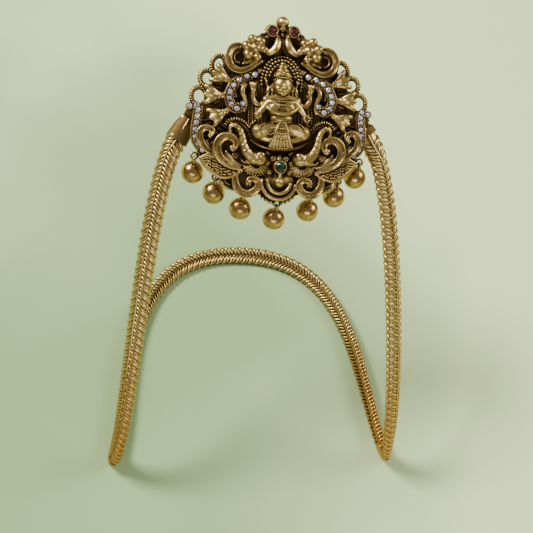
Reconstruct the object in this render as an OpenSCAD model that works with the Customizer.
// Stiff armlet of woven band with a cast medallion, set stones and seven ball drops.
// Millimetres. X runs across the arm, Y from the two tips to the back arch, Z up.
// It stands by itself on its two folded tips and on the back arch.
// The medallion leans back over the arch and shows its face to the front and up.

/* [Ring] */
// Distance between the folds of the two tips
tip_span = 82; // [79:1:85]
// From the tips back to the top of the arch
arch_depth = 72; // [69:1:75]
// Width of the woven band
band_width = 6.2; // [5.8:0.1:6.4]
// Thickness of the woven band over its rib
band_thickness = 3.2; // [2.8:0.1:3.3]

/* [Medallion] */
// Lean of the medallion back from lying flat, which is the slope of the arm
medallion_lean = 36; // [34:1:38]
// From the tips back to the middle of the medallion
medallion_back = 60.5; // [59:0.5:62]
// Height of the middle of the medallion over the band at the tips
medallion_height = 82.5; // [81:0.5:84]
// Thickness of the cast plate
plate_thickness = 1.2; // [1:0.1:1.4]

/* [Stones] */
// Diameter of the clear stones in the four crescents
clear_stone = 1.36; // [1.2:0.02:1.4]
// Diameter of the two red stones
red_stone = 2.1; // [1.9:0.1:2.2]
// Diameter of the green stone
green_stone = 2.5; // [2.2:0.1:2.6]

/* [Drops] */
// Diameter of a ball drop
ball_diameter = 6; // [5.6:0.1:6.2]
// Wire of the jump rings
ring_wire = 0.44; // [0.4:0.02:0.46]

/* [Hidden] */
// Air between two pieces that are fitted together
fit = 0.12;
// Sides of a round mesh tube, of a small bead and of a larger mesh ball
tube_sides = 5;
bead_sides = 6;
ball_sides = 8;

// Corners of the band's section: across the width, and out from the arm
band_section = [
    [-0.5, 0.14], [-0.1, 0.5], [0.1, 0.5], [0.5, 0.14],
    [0.5, -0.16], [0.3, -0.5], [-0.3, -0.5], [-0.5, -0.16]
];
// Steps along one leg and along half of the arch
leg_steps = 20;
arch_steps = 16;
// Half axes of the arm that the band follows, and the centre of the arm behind the tips
arm_half_width = 44;
arm_half_depth = 38;
arm_centre_depth = 4;
// Straight end of each leg on the plate: its length, its slope inwards and where it ends
strap_straight = 7;
strap_slope = 30;
strap_end = [23, -2];
// The sleeves round the band's ends lie against the back of the plate
sleeve_wall = 0.4;
strap_level = -plate_thickness - fit - sleeve_wall - band_thickness / 2;

// Eyes on the lower rim that carry the drops: across and up the plate
drop_eyes = [
    [-21.7, -11.5], [-16.1, -16.7], [-9, -20.6], [0, -23],
    [9, -20.6], [16.1, -16.7], [21.7, -11.5]
];
eye_radius = 0.8;
eye_wire = 0.6;
eye_level = -0.6;
ring_radius = 0.9;
bail_radius = 0.65;
bail_wire = 0.4;
collar_height = 0.25;

// Height of the pieces of relief over the face of the plate
crescent_height = 1.3;
inner_crescent_height = 1.9;
figure_gap = 0.1;

gold = [0.66, 0.52, 0.24];
band_gold = [0.79, 0.65, 0.33];
drop_gold = [0.72, 0.5, 0.2];

// Curves and lists of points

function unit(v) = v / norm(v);
function bezier(p, t) =
    pow(1 - t, 3) * p[0] + 3 * pow(1 - t, 2) * t * p[1] + 3 * (1 - t) * t * t * p[2] + pow(t, 3) * p[3];
function curve(p, steps) = [for (i = [0:steps]) bezier(p, i / steps)];
function reversed(list) = [for (i = [len(list) - 1:-1:0]) list[i]];
function without_first(list) = [for (i = [1:len(list) - 1]) list[i]];
function without_ends(list) = [for (i = [1:len(list) - 2]) list[i]];
function flipped(list) = [for (p = list) [-p.x, p.y, p.z]];
function spiral(centre, r_from, r_to, a_from, a_to, steps) = [
    for (i = [0:steps])
        let (t = i / steps, a = a_from + t * (a_to - a_from))
            centre + (r_from + t * (r_to - r_from)) * [cos(a), sin(a)]
];

// Skin over a row of rings that all have the same number of points
module skin(rings) {
    sides = len(rings[0]);
    last = len(rings) - 1;
    walls = [
        for (i = [0:last - 1], j = [0:sides - 1])
            let (a = i * sides + j, b = i * sides + (j + 1) % sides)
                each [[a, b + sides, a + sides], [a, b, b + sides]]
    ];
    front = [for (j = [sides - 1:-1:0]) j];
    back = [for (j = [0:sides - 1]) last * sides + j];
    polyhedron([for (r = rings) each r], concat(walls, [front, back]), convexity = 10);
}

// Tube over the plate along a flat path. Its radius and its height run evenly from end to end,
// and swell adds to the radius in the middle.
module scroll(path, r_from, r_to, z_from, z_to, swell = 0, sides = tube_sides) {
    last = len(path) - 1;
    skin([
        for (i = [0:last])
            let (
                t = i / last,
                along = unit(path[min(i + 1, last)] - path[max(i - 1, 0)]),
                r = r_from + t * (r_to - r_from) + swell * sin(180 * t),
                z = z_from + t * (z_to - z_from)
            ) [
                for (j = [0:sides - 1])
                    let (a = -360 * j / sides)
                        [path[i].x - along.y * r * cos(a), path[i].y + along.x * r * cos(a), z + r * sin(a)]
            ]
    ]);
}

// Flat strip of metal on the plate along a path, with its own half width at each point
module strip(path, half_widths, height) {
    last = len(path) - 1;
    sides = [
        for (i = [0:last])
            let (along = unit(path[min(i + 1, last)] - path[max(i - 1, 0)]))
                half_widths[i] * [-along.y, along.x]
    ];
    linear_extrude(height)
        polygon(concat(
            [for (i = [0:last]) path[i] + sides[i]],
            [for (i = [last:-1:0]) path[i] - sides[i]]
        ));
}

module ball(at, r, sides = ball_sides) {
    translate(at) sphere(r, $fn = sides);
}

// Egg with three half sizes, turned in the plane of the plate
module egg(at, size, turn = 0, sides = ball_sides) {
    translate(at) rotate(turn) scale(size) sphere(1, $fn = sides);
}

// Limb between two balls
module limb(a, r_a, b, r_b, sides = ball_sides) {
    hull() {
        ball(a, r_a, sides);
        ball(b, r_b, sides);
    }
}

module both_sides() {
    children();
    mirror([1, 0, 0]) children();
}

// Places of the medallion and the band

// A point of the plate, from its own across, up and out
function on_plate(p) = [
    p.x,
    medallion_back + p.y * cos(medallion_lean) - p.z * sin(medallion_lean),
    medallion_height + p.y * sin(medallion_lean) + p.z * cos(medallion_lean)
];
module placed_on_plate() {
    translate(stand + on_plate([0, 0, 0])) rotate([medallion_lean, 0, 0]) children();
}

// Outward normal of the arm under a point of the band
function out_of_arm(p) =
    let (
        away = [0, sin(medallion_lean), -cos(medallion_lean)],
        depth = p * away - arm_centre_depth
    )
        unit([p.x / pow(arm_half_width, 2), 0, 0] + away * depth / pow(arm_half_depth, 2));

// One ring of the band round a point, square to the direction, stretched where it is mitred
function band_ring(p, along, out, stretch) =
    let (
        n = unit(out - (out * along) * along),
        w = cross(n, along)
    )
        [for (s = band_section) p + s.x * band_width * stretch * w + s.y * band_thickness * n];

function lowest(ring) = min([for (p = ring) p.z]);

// Right half of the centre line: along the arch from its top to the tip, then up the leg
strap_along = [-sin(strap_slope), cos(strap_slope)];
strap_start = strap_end - strap_straight * strap_along;
strap_lead = strap_start - 15 * strap_along;
tip = [tip_span / 2, 0, 0];
arch_flat = curve([
    [0, arch_depth, 0], [tip_span * 0.493, arch_depth, 0],
    tip + [-5.6, 24.4, 0], tip
], arch_steps);
leg_flat = curve([
    tip, tip + [-3.8, -8, 24.7],
    on_plate([strap_lead.x, strap_lead.y, strap_level]),
    on_plate([strap_start.x, strap_start.y, strap_level])
], leg_steps);

arch_in = unit(arch_flat[arch_steps] - arch_flat[arch_steps - 1]);
leg_out = unit(leg_flat[1] - leg_flat[0]);
mitre_along = unit(arch_in + leg_out);
mitre_out = -cross(arch_in, leg_out);
mitre_stretch = 1 / (arch_in * mitre_along);

// The tips rise until they touch the ground, and the arch by itself until its lower edge does
tip_rise = -lowest(band_ring([0, 0, 0], mitre_along, mitre_out, mitre_stretch));
function arch_rise(i) =
    -lowest(band_ring([0, 0, 0], unit(arch_flat[min(i + 1, arch_steps)] - arch_flat[max(i - 1, 0)]),
        out_of_arm(arch_flat[i]), 1));
arch_line = [for (i = [0:arch_steps - 1]) arch_flat[i] + [0, 0, min(arch_rise(i) - tip_rise, 0)]];
right_line = concat(arch_line, leg_flat, [on_plate([strap_end.x, strap_end.y, strap_level])]);

right_rings = [
    for (i = [0:len(right_line) - 1])
        let (
            last = len(right_line) - 1,
            at_tip = i == arch_steps,
            along = at_tip ? mitre_along : unit(
                i == last || i == last - 1
                    ? right_line[last] - right_line[last - 1]
                    : right_line[i + 1] - right_line[max(i - 1, 0)]
            ),
            straight = i == 0 ? [1, 0, 0] : along,
            out = at_tip ? mitre_out
                : i >= last - 1 ? [0, -sin(medallion_lean), cos(medallion_lean)]
                : out_of_arm(right_line[i])
        )
            band_ring(right_line[i], straight, out, at_tip ? mitre_stretch : 1)
];

// The whole stands on the ground with the middle of its box over the origin
crest_bud = [0, 22.9, 0.5];
crest_radius = 1.75;
front = min([for (r = right_rings, p = r) p.y]);
back = max(on_plate(crest_bud).y + crest_radius, max([for (r = right_rings, p = r) p.y]));
stand = [0, -(front + back) / 2, tip_rise];

module band() {
    left_rings = [for (r = reversed(without_first(right_rings))) flipped(r)];
    color(band_gold)
        translate(stand)
            skin(concat(left_rings, right_rings));
}

// Bar with the band's own section, grown all round, between two places along the strap
module band_bar(grow, from, to) {
    width = band_width + 2 * grow;
    thickness = band_thickness + 2 * grow;
    translate([0, to, 0])
        rotate([90, 0, 0])
            linear_extrude(to - from)
                polygon([for (s = band_section) [s.x * width, s.y * thickness]]);
}
// Smooth sleeve over the end of the band, closed at its top, with a tongue that lies under the plate
tongue = [4.4, 3, 1.4];
module end_cap(sleeve) {
    closed_end = 0.9;
    color(gold)
        placed_on_plate()
            translate([strap_end.x, strap_end.y, strap_level])
                rotate(strap_slope) {
                    difference() {
                        band_bar(sleeve_wall, closed_end - sleeve, closed_end);
                        band_bar(fit, -sleeve, fit);
                    }
                    translate([-tongue.x / 2, closed_end / 2, band_thickness / 2 + sleeve_wall - tongue.z])
                        cube(tongue);
                }
}

// Settings and stones

// Middle line of each crescent on the right side, and the half widths of its metal
outer_line = curve([[21.5, 1.2], [20, -1.5], [23.8, -6.5], [19.7, -10]], 7);
inner_line = concat(
    curve([[6.9, 9.4], [11.4, 9], [14.8, 4.6], [12.8, 1.6]], 6),
    [[11.3, 0.6], [9.8, 2]]
);
outer_spots = concat([[23.25, 0.8]], outer_line);
inner_spots = inner_line;
stone_seat = clear_stone / 2 + fit;
// The girdle of a stone lies this far below its rim of metal
stone_sunk = 0.15;
// Depth of a stone under its girdle and height of its table over it, to its radius
stone_depth = 0.5;
table_height = 0.36;

module cut_stone(r, sides = 8) {
    skin([
        for (level = [[0.45, -stone_depth], [1, 0], [0.56, table_height]])
            [for (j = [0:sides - 1])
                let (a = -360 * (j + (level[1] > 0 ? 0.5 : 0)) / sides)
                    [r * level[0] * cos(a), r * level[0] * sin(a), r * level[1]]]
    ]);
}
module stone_row(spots, level) {
    placed_on_plate()
        for (p = spots)
            translate([p.x, p.y, level])
                cut_stone(clear_stone / 2);
}
module outer_stones(side) {
    color("lavender")
        mirror([side < 0 ? 1 : 0, 0, 0])
            stone_row(outer_spots, crescent_height - stone_sunk);
}
module inner_stones(side) {
    color("lavender")
        mirror([side < 0 ? 1 : 0, 0, 0])
            stone_row(inner_spots, inner_crescent_height - stone_sunk);
}
module seats(spots, level) {
    for (p = spots)
        translate([p.x, p.y, level - stone_sunk - stone_depth * clear_stone / 2 - fit / 2])
            cylinder(h = 1, r = stone_seat, $fn = 8);
}
// Round bezel with a cut stone in it
module bezel(at, stone, height) {
    translate([at.x, at.y, 0])
        difference() {
            cylinder(h = height, r1 = stone / 2 + 0.7, r2 = stone / 2 + 0.45, $fn = 12);
            translate([0, 0, height - stone_sunk - stone_depth * stone / 2 - fit])
                cylinder(h = stone, r = stone / 2 + fit, $fn = 12);
        }
}
red_spot = [2.8, 20.4];
red_height = 2.6;
green_spot = [0, -13.8];
green_height = 3.6;
module red_stone_at(side) {
    color("darkred")
        placed_on_plate()
            translate([side * red_spot.x, red_spot.y, red_height - stone_sunk])
                cut_stone(red_stone / 2, 12);
}
module green_stone() {
    color("darkgreen")
        placed_on_plate()
            translate([green_spot.x, green_spot.y, green_height - stone_sunk])
                cut_stone(green_stone / 2, 12);
}

// Cast medallion, drawn for its right side

plate_edge = [
    [0, 22.6], [2.8, 22], [5.6, 19.9], [8.4, 19], [10.4, 16.4], [13.1, 15.8], [14.2, 13.2],
    [14.8, 11], [16.4, 9.5], [17.3, 9.2], [17.5, 7.2], [19, 6.4], [19.5, 5.2], [19.6, 2.9],
    [20.6, 1.9], [23.4, 2.1], [24.4, 0.6], [22.3, -1.4], [23.1, -5.6], [22.8, -8.2],
    [21.2, -10.7], [20.7, -12.5], [17.2, -16], [14.9, -17.4], [13.7, -19.2], [10.9, -20.3],
    [8.2, -21.5], [5.6, -20.9], [4.6, -21.2], [2.6, -22.7], [0, -23.2]
];
module plate() {
    translate([0, 0, -plate_thickness])
        linear_extrude(plate_thickness)
            polygon(concat(plate_edge, [for (p = reversed(without_first(plate_edge))) [-p.x, p.y]]));
}
// Open loops of milled wire round the shoulder: across, up, and how long against their width
shoulder_loops = [[16.1, 11.9, 1.2], [19, 8.2, 1.05], [21, 3.8, 1.2]];
module wire_loop(radius, wire, steps = 12) {
    rotate_extrude($fn = steps) translate([radius, 0]) circle(wire / 2, $fn = 5);
}
// Half-open flower buds behind the inner crescent: across, up and the way they open
flower_buds = [[15.4, 8.7, 25], [17.3, 3.9, 0], [16, -1.1, -25]];
module flower_bud() {
    for (petal = [-1, 0, 1])
        hull() {
            ball([-2.2, 0, 0.3], 0.55, bead_sides);
            ball([1.3, petal * 1.45, 0.7 + 0.4 * (1 - abs(petal))], 0.75, bead_sides);
        }
}
// Fruit in the peacock's beak: across, up and radius
berries = [
    [5.9, 17.4, 1.1], [7.7, 18.1, 0.95], [7.1, 15.6, 1.1],
    [9, 16.2, 1], [8.6, 14.1, 0.9], [4.9, 15.5, 0.8]
];
module peacock() {
    neck = curve([[1.5, 19.2], [0.2, 15.6], [3.4, 13.6], [6.2, 16.6]], 6);
    scroll(neck, 0.6, 0.9, 1.1, 1.3, 0.7);
    bezel(red_spot, red_stone, red_height);
    hull() {
        ball([4.4, 20, 1.4], 0.5, bead_sides);
        ball([5.6, 19.6, 1], 0.25, bead_sides);
    }
    for (berry = berries)
        ball([berry.x, berry.y, 0.6], berry[2], bead_sides);
    curl = concat(
        curve([[5.4, 12.4], [7.6, 10.2], [10.6, 9.6], [12.6, 11]], 4),
        without_first(spiral([11.1, 13.2], 2.6, 1.4, -50, 160, 7))
    );
    scroll(curl, 0.35, 0.5, 1, 1.5);
    egg([9.4, 13.1, 0.3], [3.2, 1.5, 1], 0);
}
module crescents() {
    difference() {
        union() {
            strip(outer_line, [0.95, 1.15, 1.2, 1.2, 1.2, 1.15, 1.1, 0.9], crescent_height);
            translate([outer_spots[0].x, outer_spots[0].y, 0])
                cylinder(h = crescent_height, r = 1.1, $fn = 10);
        }
        seats(outer_spots, crescent_height);
    }
    difference() {
        strip(inner_line, [0.9, 1.1, 1.2, 1.25, 1.25, 1.2, 1.15, 1.1, 1], inner_crescent_height);
        seats(inner_spots, inner_crescent_height);
    }
    scroll(curve([[7.6, 6.8], [10.6, 7], [10.8, 3.6], [8.6, 3.2]], 5), 0.6, 0.5, 0.4, 0.4, 0.3);
}
module elephant() {
    egg([6.6, -11.4, 1.6], [2, 1.9, 1.9], 20);
    trunk = curve([[7.6, -11.6], [10.4, -8.4], [8.4, -3.8], [11.4, -3.4]], 6);
    scroll(concat(trunk, [[12.7, -3.9], [13, -5]]), 1.35, 0.45, 2.1, 2);
    limb([8, -11.9, 1.9], 0.4, [9.6, -11.6, 2.2], 0.2, bead_sides);
    hull() {
        egg([6.2, -13.4, 0.6], [3, 2.4, 0.9], 0);
        ball([7.8, -15.6, 0.4], 0.6, bead_sides);
    }
}
// Upper and lower rim of the broad leaf
leaf_top = [[20.7, -11.8], [17, -10.6], [14.6, -14], [9.3, -14.7]];
leaf_bottom = [[9.4, -15.1], [13.6, -17.8], [16.6, -17], [20.5, -12.1]];
module scrollwork() {
    scroll(concat(
        curve([[10.2, -14.4], [14.6, -13.8], [16.8, -10], [15.4, -7.6]], 4),
        without_first(spiral([13.4, -8.5], 2.2, 1.2, 25, 225, 7))
    ), 0.35, 0.5, 1.2, 1.8);
    scroll(curve([[9.4, -13.6], [11.6, -13.4], [13.6, -12], [13.6, -9.8]], 4), 0.9, 0.7, 0.3, 0.6);
    scroll(concat(
        curve([[16.6, -10.2], [18.6, -10.2], [20.4, -8.6], [20.4, -6.4]], 4),
        without_first(spiral([18.6, -6.2], 1.8, 1, 0, 200, 6))
    ), 0.35, 0.45, 0.9, 1.2);
    linear_extrude(0.7)
        polygon(concat(without_ends(curve(leaf_top, 5)), without_ends(curve(leaf_bottom, 5))));
    scroll(curve(leaf_top, 6), 0.4, 0.4, 0.6, 0.6);
    scroll(curve(leaf_bottom, 6), 0.4, 0.4, 0.62, 0.62);
    scroll(curve([[14.9, -16.6], [14.6, -19.6], [11.8, -20.4], [10.4, -19.6]], 4), 0.4, 0.4, 0.4, 0.4);
    scroll(concat(
        [[10.8, -15.8]],
        spiral([8.1, -18.3], 2.8, 2.5, 0, -180, 7),
        without_first(spiral([7, -18.2], 1.4, 0.9, 180, 0, 4))
    ), 0.5, 0.45, 0.9, 1.2);
}
module rosette() {
    for (step = [[4.2, 0.6], [2.8, 1.3]]) {
        translate([0, -17.4, 0]) cylinder(h = step[1], r = step[0], $fn = 16);
        scroll(spiral([0, -17.4], step[0], step[0], 195, 345, 8), 0.5, 0.5, step[1], step[1]);
    }
    egg([0, -17.4, 0.9], [1.7, 1.9, 1.6], 0);
    for (i = [-5:5])
        if (i != 0)
            ball([5.5 * sin(12.5 * i), -17.7 - 5.5 * cos(12.5 * i), -0.1], 0.56, bead_sides);
    bezel(green_spot, green_stone, green_height);
    both_sides() {
        ball([1.5, -11.9, 0.5], 0.85, bead_sides);
        ball([2.6, -15, 0.4], 0.75, bead_sides);
    }
}
module crest() {
    ball(crest_bud, crest_radius, ball_sides);
    ball([0, 20.9, 0.5], 0.9, bead_sides);
    ball([0, 19.5, 0.3], 0.7, bead_sides);
}
// Ground that the figure is seated in: its own outline on the plate
figure_outline = [
    [0, 14.9], [2.6, 14.2], [4.8, 12.1], [5.5, 10.4], [6.3, 8], [8.7, 7.4], [8.6, 1.2],
    [8.3, -2.6], [8.2, -6.6], [6.6, -8.4], [3.6, -9.4], [0, -9.7]
];
module figure_ground(grow) {
    outline = concat(figure_outline, [for (p = reversed(figure_outline)) [-p.x, p.y]]);
    linear_extrude(9)
        offset(delta = grow)
            polygon(outline);
}
module medallion() {
    color(gold)
        placed_on_plate() {
            difference() {
                union() {
                    plate();
                    both_sides() {
                        for (l = shoulder_loops)
                            translate([l.x, l.y, eye_level]) scale([1, l[2], 1]) wire_loop(1.5, 1.1);
                        for (b = flower_buds)
                            translate([b.x, b.y, 0]) rotate(b[2]) flower_bud();
                        peacock();
                        crescents();
                        elephant();
                        scrollwork();
                    }
                    rosette();
                    crest();
                }
                figure_ground(figure_gap);
                translate([0, 0, -plate_thickness - 5]) linear_extrude(5) square(60, center = true);
                for (p = drop_eyes)
                    translate([p.x, p.y - 0.35, -plate_thickness - 1]) cylinder(h = 2.7, r = 0.95, $fn = 8);
            }
            for (p = drop_eyes)
                translate([p.x, p.y, eye_level]) wire_loop(eye_radius, eye_wire, 10);
        }
}

// Seated figure with four arms under a beaded arch. The face is a plain calm oval.

module figure_arm() {
    limb([3, 3.4, 2.4], 1.5, [6.2, 1.4, 1.8], 0.95, bead_sides);
    limb([6.2, 1.4, 1.8], 0.95, [7.6, 4.2, 1.6], 0.75, bead_sides);
    egg([7.4, 5.9, 1.4], [0.9, 1.3, 1.1], 0, bead_sides);
    limb([3, 2.8, 2.4], 1.3, [5.3, -0.4, 2.2], 0.95, bead_sides);
    egg([6.3, -1.3, 1.9], [1, 1.3, 1.2], 0, bead_sides);
}
// Rows of beads in the arch: half its width, its rise and the beads past the first
bead_rows = [[5.1, 6.4, 12], [4, 5.2, 10]];
module beaded_arch() {
    for (row = bead_rows, i = [0:row[2]])
        let (a = -12 + 204 * i / row[2])
            ball([row[0] * cos(a), 7.9 + row[1] * sin(a), 1.4], 0.58, bead_sides);
    linear_extrude(1.2)
        polygon([for (i = [0:14]) let (a = -16 + 212 * i / 14) [5.2 * cos(a), 7.9 + 6.4 * sin(a)]]);
}
module figure() {
    color([0.74, 0.6, 0.3])
        placed_on_plate()
            intersection() {
                translate([0, 0, figure_gap]) figure_ground(0);
                union() {
                    linear_extrude(1) polygon([
                        [-4.4, 5], [4.4, 5], [7.6, 5.4], [7.4, -0.6],
                        [7.6, -6.6], [-7.6, -6.6], [-7.4, -0.6], [-7.6, 5.4]
                    ]);
                    beaded_arch();
                    egg([0, 7, 3.2], [2.1, 2.6, 2.1], 0, 10);
                    limb([0, 9.2, 2.9], 1.9, [0, 11.4, 2.2], 0.8);
                    limb([0, 4.4, 2.5], 1.2, [0, 2.6, 2.4], 1.9);
                    both_sides() {
                        figure_arm();
                        ball([2.2, 5.6, 2.7], 0.75, bead_sides);
                        egg([1.7, 1.1, 3.4], [1.6, 1.2, 1.3]);
                        limb([1.6, -4.6, 2.4], 1.5, [5.6, -5, 2.2], 1.9);
                        limb([5.6, -5, 2.2], 1.6, [1.4, -6.6, 2.6], 1);
                    }
                    limb([0, 0.4, 2.4], 2, [0, -3, 2.3], 2.2);
                    hull() {
                        ball([0, -3, 3.8], 1, bead_sides);
                        egg([0, -8, 2.4], [2.9, 0.8, 0.9]);
                    }
                }
            }
}

// Drops that hang straight down from the eyes

// Where the wire of an eye carries its jump ring
function eye_low(i) =
    let (p = drop_eyes[i])
        stand + on_plate([p.x, p.y - eye_radius, eye_level]);
function ring_centre(i) = eye_low(i) - [0, 0, ring_radius - ring_wire / 2 - eye_wire / 2 - 0.1];
function bail_centre(i) =
    ring_centre(i) - [0, 0, ring_radius + bail_radius - bail_wire / 2 - ring_wire / 2 - 0.1];

module torus(radius, wire) {
    rotate_extrude($fn = 48) translate([radius, 0]) circle(wire / 2, $fn = 24);
}
module jump_ring(i) {
    color(drop_gold)
        translate(ring_centre(i))
            rotate([0, 90, 0]) torus(ring_radius, ring_wire);
}
module drop(i) {
    radius = ball_diameter / 2;
    color(drop_gold)
        translate(bail_centre(i)) {
            rotate([90, 0, 0]) torus(bail_radius, bail_wire);
            translate([0, 0, -bail_radius - collar_height - 0.1])
                cylinder(h = collar_height + 0.1, r = 0.75, $fn = 48);
            translate([0, 0, -bail_radius - collar_height - radius])
                sphere(radius, $fn = 64);
        }
}

band();
mirror([1, 0, 0]) end_cap(7.4);  // end_cap_left
end_cap(3.4);  // end_cap_right
medallion();
figure();
outer_stones(-1);  // outer_stones_left
outer_stones(1);  // outer_stones_right
inner_stones(-1);  // inner_stones_left
inner_stones(1);  // inner_stones_right
red_stone_at(-1);  // red_stone_left
red_stone_at(1);  // red_stone_right
green_stone();
jump_ring(0);  // jump_ring_1
jump_ring(1);  // jump_ring_2
jump_ring(2);  // jump_ring_3
jump_ring(3);  // jump_ring_4
jump_ring(4);  // jump_ring_5
jump_ring(5);  // jump_ring_6
jump_ring(6);  // jump_ring_7
drop(0);  // drop_1
drop(1);  // drop_2
drop(2);  // drop_3
drop(3);  // drop_4
drop(4);  // drop_5
drop(5);  // drop_6
drop(6);  // drop_7
